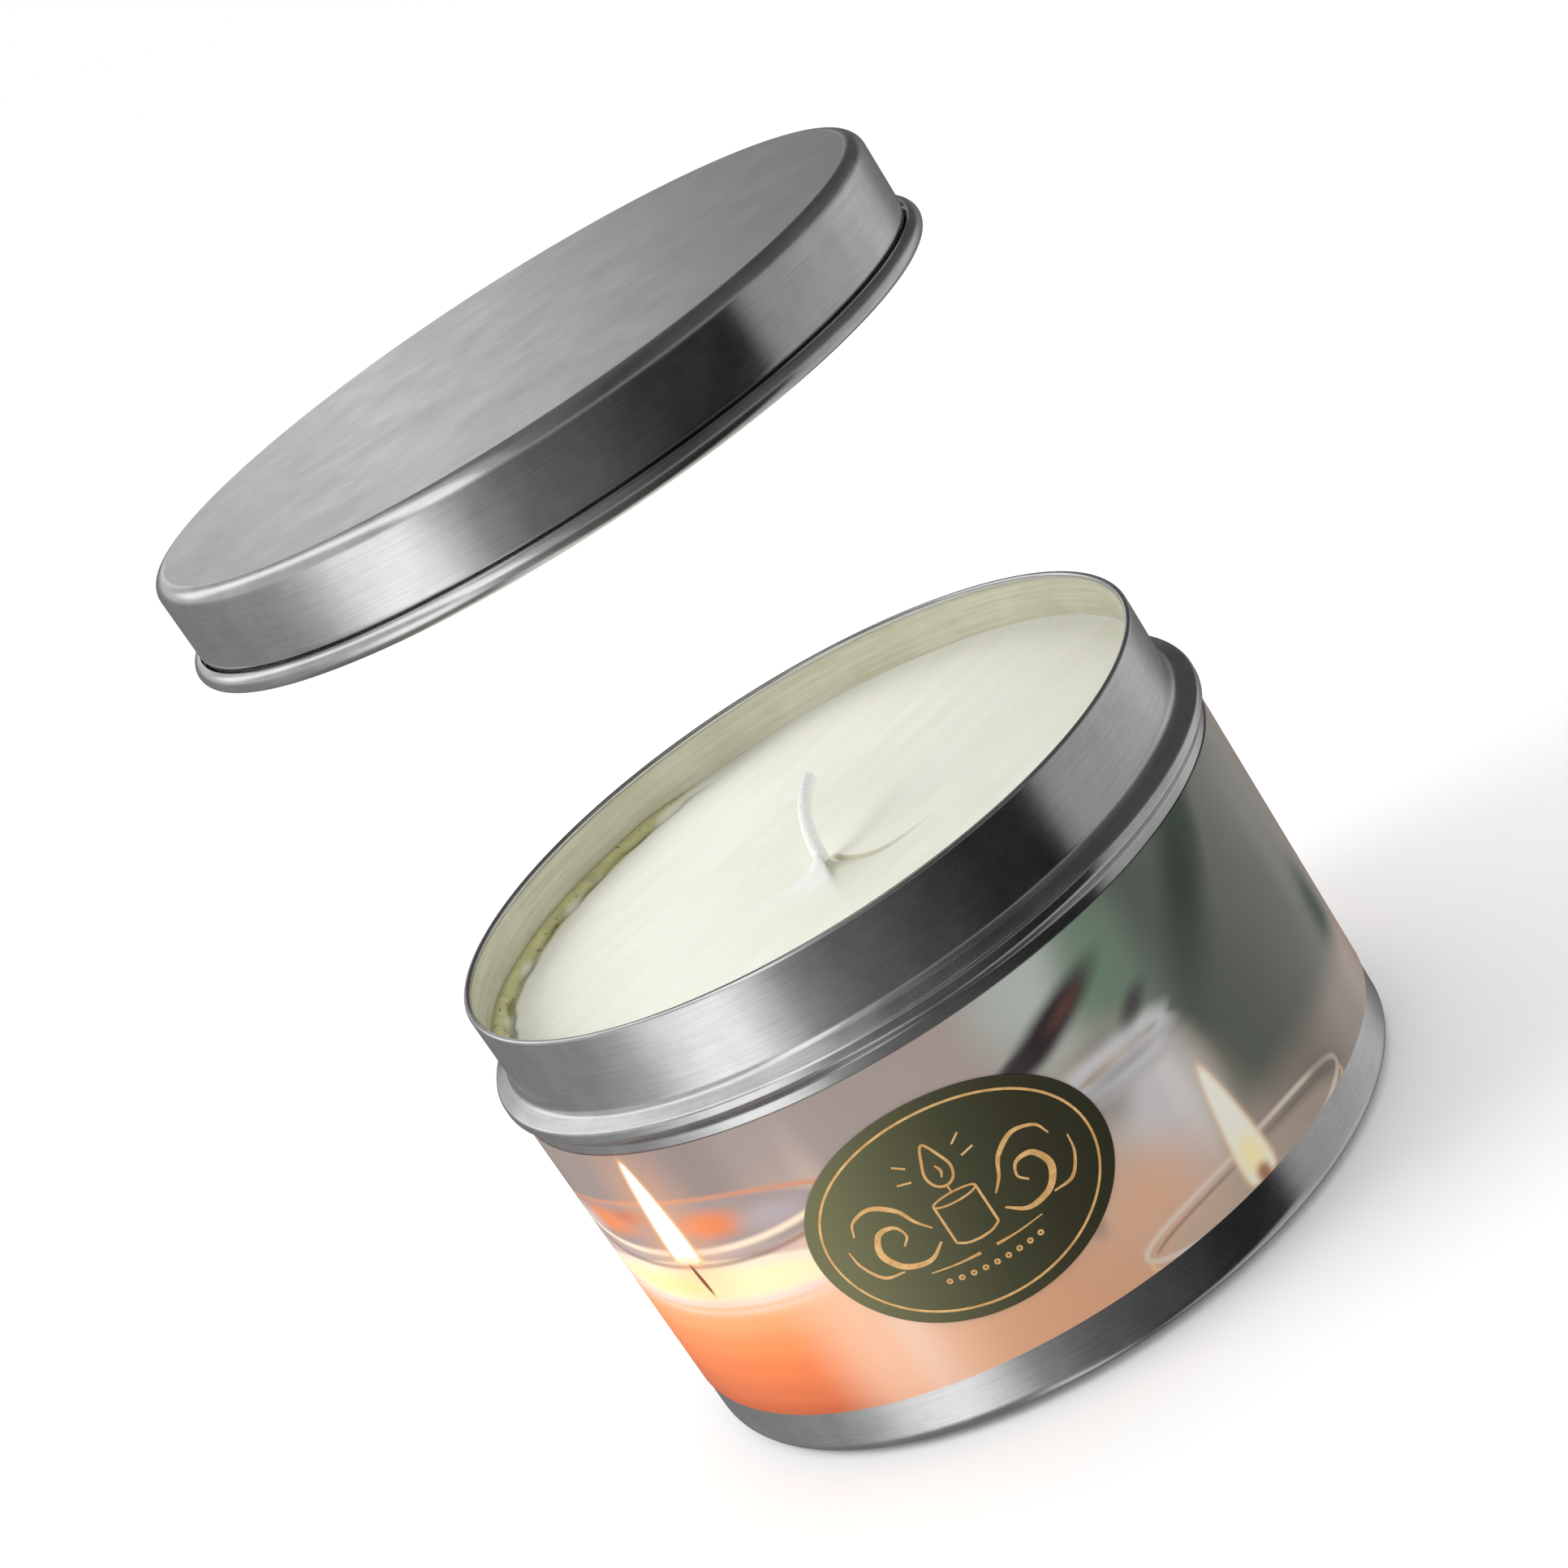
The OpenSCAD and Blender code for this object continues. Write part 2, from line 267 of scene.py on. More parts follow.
class Net:
    """A node tree that is filled by short calls."""

    def __init__(self, tree):
        self.tree = tree

    def add(self, kind, *values, out=0, **settings):
        """Adds a node, sets its properties and its inputs in order, and returns one of its outputs."""
        node = self.tree.nodes.new(kind)
        for key, value in settings.items():
            setattr(node, key, value)
        for socket, value in zip(node.inputs, values):
            self.put(socket, value)
        return node.outputs[out]

    def put(self, socket, value):
        if isinstance(value, bpy.types.NodeSocket):
            self.tree.links.new(value, socket)
        elif value is not None:
            socket.default_value = value

    def math(self, operation, *values):
        return self.add("ShaderNodeMath", *values, operation=operation)

    def vector(self, operation, *values, out=0):
        return self.add("ShaderNodeVectorMath", *values, operation=operation, out=out)

    def noise(self, place, scale, detail=3.0, roughness=0.55, stretch=(1, 1, 1)):
        spread = self.vector("MULTIPLY", place, tuple(scale * s for s in stretch))
        node = self.tree.nodes.new("ShaderNodeTexNoise")
        self.put(node.inputs["Vector"], spread)
        self.put(node.inputs["Scale"], 1.0)
        self.put(node.inputs["Detail"], detail)
        self.put(node.inputs["Roughness"], roughness)
        return node.outputs[0]

    def turned(self, place, degrees):
        """A place turned about the Z axis."""
        return self.add("ShaderNodeVectorRotate", place, (0, 0, 0), (0, 0, 1), math.radians(degrees),
                        rotation_type="Z_AXIS")

    def ramp(self, factor, stops, blend="EASE"):
        node = self.tree.nodes.new("ShaderNodeValToRGB")
        node.color_ramp.interpolation = blend
        marks = node.color_ramp.elements
        while len(marks) < len(stops):
            marks.new(0.5)
        for mark, (place, colour) in zip(marks, stops):
            mark.position = place
            mark.color = colour
        self.put(node.inputs[0], factor)
        return node.outputs[0]

    def fit(self, value, low, high, new_low=0.0, new_high=1.0, smooth=False):
        """Maps a range onto another, clamped."""
        kind = "SMOOTHSTEP" if smooth else "LINEAR"
        return self.add("ShaderNodeMapRange", value, low, high, new_low, new_high, interpolation_type=kind)

    def rise(self, value, low, high):
        """0 up to the low end of a range and 1 from its high end on, smoothly."""
        return self.fit(value, low, high, smooth=True)

    def fade(self, value, low, high):
        """1 up to the low end of a range and 0 from its high end on, smoothly."""
        return self.fit(value, low, high, 1.0, 0.0, smooth=True)

    def mean(self, a, b):
        return self.math("ADD", self.math("MULTIPLY", a, 0.5), self.math("MULTIPLY", b, 0.5))

    def blend(self, factor, a, b):
        node = self.tree.nodes.new("ShaderNodeMix")
        node.data_type = "RGBA"
        self.put(node.inputs[0], factor)
        self.put(node.inputs[6], a)
        self.put(node.inputs[7], b)
        return node.outputs[2]

    def bump(self, height, strength, distance):
        node = self.tree.nodes.new("ShaderNodeBump")
        self.put(node.inputs["Strength"], strength)
        self.put(node.inputs["Distance"], distance)
        self.put(node.inputs["Height"], height)
        return node.outputs[0]


def material(name, **sockets):
    """A material with one shader, whose constant sockets are set here, its net and the sockets."""
    mat = bpy.data.materials.new(name)
    mat.use_nodes = True
    shader = mat.node_tree.nodes["Principled BSDF"]
    for key, value in sockets.items():
        shader.inputs[key.replace("_", " ")].default_value = value
    return mat, Net(mat.node_tree), shader.inputs


def object_place(net):
    return net.add("ShaderNodeTexCoord", out=3)


def own_uv(net):
    return net.add("ShaderNodeUVMap", uv_map="UVMap")


# ---------------------------------------------------------------- materials

def tinplate(name, grain, anisotropic=0.8):
    """Brushed tinplate: streaks that are fine where the grain's number is large, over faint clouds."""
    mat, net, shader = material(name, Metallic=1.0, Anisotropic=anisotropic, Anisotropic_Rotation=0.25)
    place = object_place(net)
    streaks = net.noise(place, 1.0, 2.0, 0.5, grain)
    hairs = net.noise(place, 1.0, 1.0, 0.5, tuple(1.7 * g for g in grain))
    clouds = net.noise(place, 170.0, 5.0, 0.66, (1.0, 1.0, 0.8))
    lines = net.mean(streaks, hairs)
    tone = net.math("ADD", net.math("MULTIPLY", lines, 0.45), net.math("MULTIPLY", clouds, 0.55))
    net.put(shader["Base Color"], net.ramp(tone, [(0.34, grey(0.56)), (0.66, grey(0.71))]))
    net.put(shader["Roughness"], net.fit(clouds, 0.3, 0.7, 0.17, 0.24))
    net.put(shader["Normal"], net.bump(lines, 0.06, 0.01 * MM))
    tangent = net.add("ShaderNodeTangent", direction_type="UV_MAP", uv_map="UVMap")
    net.put(shader["Tangent"], tangent)
    return mat


def tinplate_painted_wax_reflection():
    """The wall above the wax, with a painted reflection of the cream wax: dulled and warmed to cream in
    place of that reflection.
    """
    mat, net, shader = material("tinplate_painted_wax_reflection", Metallic=0.4, Specular_IOR_Level=0.4)
    place = object_place(net)
    brushed = net.noise(place, 1.0, 3.0, 0.6, (90, 90, 2600))
    reflection_mottle = net.noise(place, 120.0, 4.0, 0.6)
    tone = net.mean(brushed, reflection_mottle)
    # painted reflection: the cream of the wax, painted into the wall's colour
    net.put(shader["Base Color"], net.ramp(tone, [(0.34, srgb(204, 202, 180)), (0.66, srgb(226, 225, 208))]))
    net.put(shader["Roughness"], net.fit(reflection_mottle, 0.3, 0.7, 0.36, 0.5))
    net.put(shader["Normal"], net.bump(brushed, 0.15, 0.02 * MM))
    return mat


def film_grain(net, shader):
    """The faint tooth of printed film."""
    grain = net.noise(object_place(net), 5200.0, 2.0, 0.5)
    net.put(shader["Normal"], net.bump(grain, 0.06, 0.01 * MM))


def label_print():
    """Satin printed film with a soft picture of two candles burning in glasses before blurred leaves."""
    mat, net, shader = material("label_print", Roughness=0.42, Specular_IOR_Level=0.35)
    uv = net.add("ShaderNodeSeparateXYZ", own_uv(net))
    height = uv.node.outputs[1]
    s = net.math("MULTIPLY", net.math("SUBTRACT", uv, 0.5), ROUND / MM)
    s = net.math("WRAP", s, ROUND / MM / 2, -ROUND / MM / 2)
    z = net.math("MULTIPLY_ADD", height, (label_high[2] - label_low[2]) / MM, label_low[2] / MM)
    place = net.add("ShaderNodeCombineXYZ", s, z, 0.0)
    picture = Picture(net, place, s, z)
    paint_candles(picture)
    net.put(shader["Base Color"], picture.colour)
    film_grain(net, shader)
    return mat


class Picture:
    """Paints soft shapes over each other. Places and sizes are in millimetres from the front's middle."""

    def __init__(self, net, place, s, z):
        self.net, self.place, self.s, self.z = net, place, s, z
        self.colour = None

    def cover(self, mask, colour, strength=1.0):
        factor = self.net.math("MULTIPLY", mask, strength) if strength != 1.0 else mask
        self.colour = self.net.blend(factor, self.colour, colour)

    def reach(self, centre, size, turn=0.0):
        """Distance from a centre, where 1 is the edge of an oval of this size."""
        net = self.net
        away = net.vector("SUBTRACT", self.place, (centre[0], centre[1], 0.0))
        if turn:
            away = net.turned(away, -turn)
        shrunk = net.vector("DIVIDE", away, (size[0], size[1], 1.0))
        return net.vector("LENGTH", shrunk, out=1)

    def spot(self, centre, size, colour, soft=0.6, strength=1.0, turn=0.0):
        mask = self.net.fade(self.reach(centre, size, turn), 1 - soft, 1 + soft)
        self.cover(mask, colour, strength)

    def hoop(self, centre, size, colour, width, strength=1.0, above=None, below=None):
        """An oval line of even width, all round or only its part above or below a height."""
        net = self.net
        reach = self.reach(centre, size)
        steep = self.reach(centre, (size[0] ** 2, size[1] ** 2))
        off = net.math("ABSOLUTE", net.math("SUBTRACT", reach, 1.0))
        off = net.math("DIVIDE", net.math("MULTIPLY", off, reach), steep)
        mask = net.fade(off, 0.0, width)
        if above is not None:
            mask = net.math("MULTIPLY", mask, net.rise(self.z, above - 0.3, above + 0.3))
        if below is not None:
            mask = net.math("MULTIPLY", mask, net.fade(self.z, below - 0.3, below + 0.3))
        self.cover(mask, colour, strength)

    def flame(self, foot, tall, wide, colour, soft):
        """A tall pointed flame that is widest low down."""
        net = self.net
        up = net.math("DIVIDE", net.math("SUBTRACT", self.z, foot[1]), tall)
        up = net.fit(up, 0.001, 0.999, 0.001, 0.999)
        low = net.math("POWER", up, 0.1)
        high = net.math("POWER", net.math("SUBTRACT", 1.0, up), 0.72)
        half = net.math("MULTIPLY", net.math("MULTIPLY", low, high), wide)
        away = net.math("ABSOLUTE", net.math("SUBTRACT", self.s, foot[0]))
        edge = net.math("SUBTRACT", away, half)
        mask = net.fade(edge, -soft, soft)
        low_end = net.rise(self.z, foot[1] - soft, foot[1] + soft)
        top = foot[1] + tall
        high_end = net.fade(self.z, top - 3 * soft, top + soft)
        self.cover(net.math("MULTIPLY", mask, net.math("MULTIPLY", low_end, high_end)), colour)


def paint_candles(p):
    """The label's picture, from its backdrop to its flames."""
    net = p.net
    # backdrop: taupe, turning to dim leaves at the right
    p.colour = net.ramp(net.fit(p.s, -61.0, 61.0), [
        (0.0, srgb(152, 136, 128)), (0.3, srgb(150, 134, 129)), (0.55, srgb(162, 147, 141)),
        (0.62, srgb(152, 158, 150)), (0.68, srgb(104, 118, 104)), (0.74, srgb(78, 86, 77)),
        (0.82, srgb(92, 94, 87)), (0.9, srgb(112, 112, 104)), (0.95, srgb(134, 130, 122)),
        (1.0, srgb(152, 136, 128))])
    p.spot((15, 35), (5, 5), srgb(172, 178, 171), 0.8, 0.8)
    p.spot((21, 32), (3.4, 6), srgb(98, 122, 100), 0.8, 0.85, turn=-12)
    p.spot((34.5, 32), (10, 2.7), srgb(38, 54, 38), 0.75, 0.95, turn=56)
    p.spot((39, 36), (5, 1.6), srgb(45, 62, 44), 0.8, 0.8, turn=62)
    p.spot((43, 22), (8, 7), srgb(92, 94, 86), 0.8, 0.7)
    p.spot((32, 18), (6, 9), srgb(80, 84, 76), 0.8, 0.7)
    p.spot((53, 16), (3, 4), srgb(52, 72, 48), 0.8, 0.95)
    p.spot((50, 27), (2.2, 9), srgb(126, 125, 117), 0.9, 0.6)
    p.spot((-52, 30), (7, 9), srgb(140, 124, 118), 0.9, 0.6)
    p.spot((-12, 33), (5, 12), srgb(164, 149, 144), 0.9, 0.7)
    p.spot((-20, 36), (2.5, 9), srgb(140, 125, 120), 0.9, 0.5)
    # table: peach below
    table = net.fade(p.z, 9.5, 14.5)
    wood = net.ramp(net.fit(p.s, -61.0, 61.0), [
        (0.0, srgb(176, 142, 122)), (0.4, srgb(220, 166, 130)), (0.56, srgb(206, 154, 120)),
        (0.64, srgb(190, 158, 136)), (0.72, srgb(134, 122, 111)), (0.8, srgb(120, 110, 101)),
        (0.88, srgb(148, 136, 128)), (0.94, srgb(168, 154, 146)), (1.0, srgb(176, 142, 122))])
    p.cover(table, wood)
    # jar in the middle distance, with dark twigs over it
    p.spot((17, 17), (8.0, 9.5), srgb(186, 162, 146), 0.45, 0.9)
    p.spot((20.4, 17.6), (4.8, 6.6), srgb(186, 182, 182), 0.6)
    p.spot((15.5, 22.0), (2.4, 2.4), srgb(132, 130, 126), 0.9, 0.8)
    p.spot((22.0, 17.0), (1.2, 6.0), srgb(206, 200, 198), 0.8, 0.5)
    p.spot((14, 12), (6, 4.0), srgb(206, 160, 130), 0.8, 0.85)
    p.hoop((18.8, 24.4), (5.4, 1.2), srgb(190, 190, 193), 1.5, 0.8)
    p.spot((19.4, 21.9), (4.6, 0.6), srgb(168, 166, 168), 0.8, 0.7)
    p.spot((18.6, 23.4), (4.6, 0.5), srgb(132, 130, 132), 0.9, 0.6)
    p.spot((18.6, 26.8), (4.2, 0.8), srgb(120, 122, 118), 0.8, 0.5)
    p.spot((15.2, 30.9), (6.2, 1.55), srgb(52, 42, 44), 0.55, 1.0, turn=21)
    p.spot((12.0, 29.6), (2.6, 1.1), srgb(48, 38, 42), 0.6, 0.9, turn=8)
    p.spot((17.0, 31.3), (2.2, 0.6), srgb(98, 62, 52), 0.8, 0.7, turn=21)
    p.spot((10.4, 29.6), (2.0, 0.7), srgb(60, 50, 52), 0.7, 0.8, turn=4)
    p.spot((22.6, 27.3), (2.0, 0.9), srgb(62, 56, 62), 0.8, 0.85, turn=30)
    p.spot((9.0, 13.0), (0.8, 1.4), srgb(120, 104, 100), 0.9, 0.5)
    # big candle: its glass, its glowing wax and its melted pool
    glass_mid = -28.8
    wall = net.fade(net.math("ABSOLUTE", net.math("SUBTRACT", p.s, glass_mid)), 19.0, 21.0)
    under = net.fade(p.z, 26.5, 29.0)
    glow = net.ramp(net.fit(p.z, 5.6, 28.0), [
        (0.0, srgb(196, 96, 56)), (0.1, srgb(218, 112, 64)), (0.24, srgb(236, 126, 70)),
        (0.38, srgb(243, 144, 84)), (0.5, srgb(243, 164, 108)), (0.58, srgb(243, 190, 148)),
        (0.62, srgb(240, 212, 196)), (0.72, srgb(226, 196, 184)), (0.8, srgb(200, 176, 170)),
        (1.0, srgb(176, 160, 156))])
    p.cover(net.math("MULTIPLY", wall, under), glow)
    p.spot((-12.6, 12.0), (6.0, 13), srgb(242, 194, 162), 0.85, 0.9)
    p.spot((-10.2, 14.0), (1.6, 14), srgb(238, 212, 194), 0.9, 0.5)
    inner = net.fade(p.reach((glass_mid, 27.6), (19.4, 3.7)), 0.94, 1.03)
    p.cover(inner, srgb(160, 142, 138), 0.92)
    p.spot((-38.6, 28.6), (4.4, 1.5), srgb(228, 134, 84), 0.7)
    p.spot((-23.0, 28.2), (3.8, 1.4), srgb(228, 128, 78), 0.7)
    p.spot((-33.6, 29.6), (2.4, 0.8), srgb(196, 106, 66), 0.8, 0.8)
    p.spot((-15.5, 27.8), (3.6, 1.3), srgb(176, 166, 170), 0.8, 0.8)
    p.spot((-44.5, 27.6), (3.0, 1.5), srgb(206, 190, 186), 0.8, 0.8)
    p.spot((-30.0, 25.0), (12.0, 0.8), srgb(196, 176, 166), 0.6, 0.7)
    p.spot((glass_mid, 21.8), (18.6, 2.5), srgb(242, 226, 200), 0.1)
    p.spot((glass_mid, 21.5), (15.5, 1.7), srgb(244, 236, 186), 0.35)
    p.spot((-34.5, 21.3), (6.0, 1.0), srgb(244, 232, 158), 0.8, 0.8)
    p.hoop((glass_mid, 27.4), (19.6, 3.7), srgb(136, 100, 90), 0.5, 0.7, below=26.5)
    p.hoop((glass_mid, 29.0), (19.9, 3.7), srgb(250, 224, 198), 0.62, 1.0, below=27.9)
    p.hoop((glass_mid, 28.4), (19.9, 2.9), srgb(206, 142, 110), 0.5, 0.9, above=29.0)
    p.hoop((glass_mid, 21.6), (18.8, 2.5), srgb(246, 214, 200), 0.6, 0.9, below=21.4)
    p.hoop((glass_mid, 20.7), (18.8, 2.6), srgb(246, 206, 186), 0.5, 0.6, below=20.4)
    # small glass at the right
    p.spot((25.4, 5.6), (13.8, 2.6), srgb(176, 158, 142), 0.2, 0.5)
    p.hoop((25.4, 7.2), (14.2, 2.4), srgb(206, 192, 178), 0.5, 0.85)
    p.hoop((25.4, 6.7), (13.2, 2.0), srgb(112, 98, 88), 0.35, 0.6, above=7.0)
    p.hoop((25.4, 6.2), (14.2, 2.2), srgb(226, 186, 138), 0.4, 0.6, below=6.6)
    p.spot((37.5, 8.0), (2.6, 1.0), srgb(104, 94, 86), 0.8, 0.6, turn=-24)
    # flames and their wicks, each in its glow
    p.spot((glass_mid, 28.0), (4.4, 8.0), srgb(238, 166, 116), 0.9, 0.45)
    p.flame((glass_mid, 23.9), 13.0, 2.75, srgb(244, 190, 120), 0.5)
    p.flame((glass_mid, 24.2), 12.2, 2.4, srgb(250, 248, 243), 0.28)
    p.spot((-28.7, 22.2), (0.3, 1.9), srgb(138, 70, 44), 0.3, 1.0, turn=9)
    p.spot((glass_mid, 24.5), (1.9, 0.4), srgb(248, 224, 172), 0.6, 0.8)
    p.spot((24.8, 11.0), (3.4, 7.0), srgb(180, 164, 148), 0.9, 0.3)
    p.flame((24.8, 5.6), 13.8, 2.75, srgb(206, 176, 142), 0.5)
    p.flame((24.8, 5.8), 12.9, 2.35, srgb(222, 219, 206), 0.4)
    p.spot((24.8, 8.2), (1.4, 2.0), srgb(236, 218, 156), 0.8, 0.8)
    p.spot((24.9, 6.1), (0.8, 0.9), srgb(150, 92, 60), 0.7, 0.9)


def sticker_print():
    """Satin olive film, lighter at the left and darker at the right."""
    mat, net, shader = material("sticker_print", Roughness=0.4, Specular_IOR_Level=0.35)
    uv = net.add("ShaderNodeSeparateXYZ", own_uv(net))
    lean = net.math("MULTIPLY_ADD", uv.node.outputs[1], -0.12, uv)
    net.put(shader["Base Color"], net.ramp(lean, [
        (0.0, srgb(108, 107, 72)), (0.25, srgb(88, 89, 58)), (0.5, srgb(66, 66, 42)),
        (0.72, srgb(52, 51, 30)), (1.0, srgb(44, 42, 24))], "LINEAR"))
    film_grain(net, shader)
    return mat


def gold_foil():
    """Flat gold ink with a faint sheen of its own."""
    mat, net, shader = material("gold_foil", Metallic=0.15, Roughness=0.38)
    tone = net.noise(object_place(net), 900.0, 3.0, 0.6)
    net.put(shader["Base Color"], net.ramp(tone, [(0.3, srgb(204, 154, 90)), (0.7, srgb(232, 186, 122))]))
    return mat


def candle_wax():
    """Pale cream wax with faint wipe marks; the attribute gives its olive stain, painted shade in the
    groove, the crease and the hollow, and a painted highlight on the mound at the wick's foot.
    """
    mat, net, shader = material("candle_wax", Roughness=0.55, Specular_IOR_Level=0.25, Subsurface_Weight=0.2,
                                Subsurface_Scale=0.0015, Subsurface_Radius=(1.0, 0.9, 0.6))
    place = object_place(net)
    wipe = net.noise(net.turned(place, -38), 60.0, 5.0, 0.6, (1.0, 7.0, 1.0))
    cloud = net.noise(place, 45.0, 3.0, 0.5)
    tone = net.mean(wipe, cloud)
    base = net.ramp(tone, [(0.34, srgb(239, 239, 224)), (0.66, srgb(246, 246, 234))])
    stain_and_painted_light = net.add("ShaderNodeAttribute", attribute_name="stain_and_painted_light")
    parts = net.add("ShaderNodeSeparateColor", stain_and_painted_light)
    mound_highlight = stain_and_painted_light.node.outputs["Alpha"]
    patchy = net.noise(place, 520.0, 4.0, 0.65)
    rough_edge = net.fit(patchy, 0.3, 0.7, 0.7, 1.1)
    olive = net.math("MULTIPLY", parts, rough_edge)
    dark = net.math("MULTIPLY", parts.node.outputs[1], rough_edge)
    tint = net.ramp(patchy, [
        (0.36, srgb(160, 164, 96)), (0.48, srgb(198, 196, 130)), (0.62, srgb(214, 211, 154))])
    # painted highlight: the mound at the wick's foot is lightened towards white
    wax_colour = net.blend(net.math("MULTIPLY", mound_highlight, 0.8), base, srgb(250, 249, 247))
    wax_colour = net.blend(olive, wax_colour, tint)
    # painted shade in the groove at the stain's inner edge, in dark olive
    wax_colour = net.blend(dark, wax_colour, srgb(102, 110, 52))
    specks = net.math("MULTIPLY", net.fit(net.noise(place, 2100.0, 2.0, 0.5), 0.66, 0.7), parts)
    wax_colour = net.blend(specks, wax_colour, srgb(108, 84, 40))
    # painted shade in the crease and in the hollow beside the wick
    wax_colour = net.blend(parts.node.outputs[2], wax_colour, srgb(178, 178, 142))
    net.put(shader["Base Color"], wax_colour)
    net.put(shader["Normal"], net.bump(wipe, 0.1, 0.04 * MM))
    return mat


def waxed_cotton():
    """White braid soaked in wax."""
    mat, net, shader = material("waxed_cotton", Roughness=0.45, Specular_IOR_Level=0.4)
    place = object_place(net)
    fibre = net.noise(place, 2600.0, 3.0, 0.6, (1.0, 1.0, 0.25))
    net.put(shader["Base Color"], net.ramp(fibre, [(0.3, srgb(252, 251, 248)), (0.7, srgb(255, 255, 253))]))
    net.put(shader["Normal"], net.bump(fibre, 0.08, 0.01 * MM))
    return mat


def plain_stuff(name, dark, light, scale, roughness, metallic=0.0):
    """A material for the parts inside the wax: two tones of one grain."""
    mat, net, shader = material(name, Metallic=metallic)
    grain = net.noise(object_place(net), scale, 4.0, 0.6)
    net.put(shader["Base Color"], net.ramp(grain, [(0.3, dark), (0.7, light)]))
    net.put(shader["Roughness"], net.fit(grain, 0.3, 0.7, roughness - 0.06, roughness + 0.06))
    net.put(shader["Normal"], net.bump(grain, 0.2, 0.02 * MM))
    return mat


# ---------------------------------------------------------------- pieces

def make_shells():
    side = tinplate("tinplate_side", (110, 110, 4600))
    level = tinplate("tinplate_level", (110, 4200, 110), 0.6)
    # the neck's inside above the wax takes the material with the wax's reflection painted on
    above_wax = (NECK_R - 1.2 * SHEET, NECK_R - 0.8 * SHEET, WAX_Z - 1 * MM, RIM_Z - RIM_R)
    tin = lathe("tin_shell", tin_line() + beside(tin_line(), SHEET)[::-1], [side, level, tinplate_painted_wax_reflection()],
                wax_reflection_limits=above_wax)
    lid = lathe("lid_shell", lid_line() + beside(lid_line(), SHEET)[::-1], [side, level])
    return tin, lid


def make_wrap_label(steps=360):
    """A sleeve of film whose two ends overlap at the back."""
    r_in, r_out = WALL_R + GLUE, WALL_R + GLUE + FILM
    low, high = label_low[2], label_high[2]
    half = OVERLAP_W / 2 / WALL_R
    step = 0.002                            # the film's end takes this angle to come down
    turns = [2 * math.pi * k / steps for k in range(steps)]
    turns += [half, half + step, 2 * math.pi - half, 2 * math.pi - half - step]
    turns.sort()
    verts = []
    for t in turns:
        doubled = t <= half or t >= 2 * math.pi - half
        r = r_out + (FILM if doubled else 0.0)
        a = t + math.pi / 2
        for radius, z in ((r_in, low), (r, low), (r, high), (r_in, high)):
            verts.append((radius * math.cos(a), radius * math.sin(a), z))
    faces, uv = [], []
    up = (0.0, 0.0, 1.0, 1.0)
    count = len(turns)
    for k in range(count):
        after = (k + 1) % count
        u0, u1 = turns[k] / (2 * math.pi), (turns[after] / (2 * math.pi) if after else 1.0)
        for c in range(4):
            d = (c + 1) % 4
            faces.append((4 * k + c, 4 * after + c, 4 * after + d, 4 * k + d))
            v0, v1 = up[c], up[d]
            uv += [(u0, v0), (u1, v0), (u1, v1), (u0, v1)]
    return finish_mesh("wrap_label_film", verts, faces, [label_print()], uv=uv)


def make_sticker(rings=14, steps=120):
    """An oval of film bent round the front of the label."""
    verts, uvs = [], []

    def put(share, a, r):
        s, z = share * STICKER_W / 2 * math.cos(a), share * STICKER_H / 2 * math.sin(a)
        verts.append(on_tin(s, STICKER_Z + z, r))
        uvs.append((0.5 + s / STICKER_W, 0.5 + z / STICKER_H))

    faces = []
    for r in (STICKER_OUT, STICKER_IN):
        first = len(verts)
        put(0, 0, r)
        for i in range(1, rings + 1):
            for k in range(steps):
                put(i / rings, 2 * math.pi * k / steps, r)
        for k in range(steps):
            faces.append((first, first + 1 + k, first + 1 + (k + 1) % steps))
        for i in range(rings - 1):
            row, up = first + 1 + i * steps, first + 1 + (i + 1) * steps
            for k in range(steps):
                n = (k + 1) % steps
                faces.append((row + k, up + k, up + n, row + n))
    top, bottom = 1 + (rings - 1) * steps, 2 + (2 * rings - 1) * steps
    faces += [(top + k, bottom + k, bottom + (k + 1) % steps, top + (k + 1) % steps) for k in range(steps)]
    uv = [uvs[v] for f in faces for v in f]
    return finish_mesh("oval_sticker_film", verts, faces, [sticker_print()], uv=uv)


def smooth_curve(points, per=8, closed=False):
    """Points along a smooth curve through the given ones."""
    pts = [np.array(p, float) for p in points]
    count = len(pts)
    ends = range(count if closed else count - 1)
    out = []
    for i in ends:
        p0 = pts[(i - 1) % count] if closed or i else 2 * pts[0] - pts[1]
        p1, p2 = pts[i], pts[(i + 1) % count]
        p3 = pts[(i + 2) % count] if closed or i + 2 < count else 2 * pts[-1] - pts[-2]
        for t in np.arange(per) / per:
            out.append(0.5 * (2 * p1 + (p2 - p0) * t + (2 * p0 - 5 * p1 + 4 * p2 - p3) * t * t
                              + (3 * p1 - p0 - 3 * p2 + p3) * t ** 3))
    if not closed:
        out.append(pts[-1])
    return out


def gold_line(points, widths, verts, faces, closed=False):
    """A raised line on the sticker: points in millimetres from its middle, and its width along the way."""
    count = len(points)
    r_low, r_high = STICKER_OUT - HAIR, STICKER_IN + FILM
    first = len(verts)
    for i in range(count):
        before = points[(i - 1) % count] if closed or i else points[0]
        after = points[(i + 1) % count] if closed or i + 1 < count else points[-1]
        along = np.array(after) - np.array(before)
        left = np.array((-along[1], along[0])) / max(np.linalg.norm(along), 1e-9)
        half = np.interp(i / max(count - 1, 1), np.linspace(0, 1, len(widths)), widths) / 2
        for side, r in ((1, r_low), (1, r_high), (-1, r_high), (-1, r_low)):
            s, z = np.array(points[i]) + left * half * side
            verts.append(on_tin(s * MM, STICKER_Z + z * MM, r))
    for i in range(count if closed else count - 1):
        a, b = first + 4 * i, first + 4 * ((i + 1) % count)
        faces += [(a + c, b + c, b + (c + 1) % 4, a + (c + 1) % 4) for c in range(4)]
    if not closed:
        last = first + 4 * (count - 1)
        faces += [(first, first + 1, first + 2, first + 3), (last + 3, last + 2, last + 1, last)]


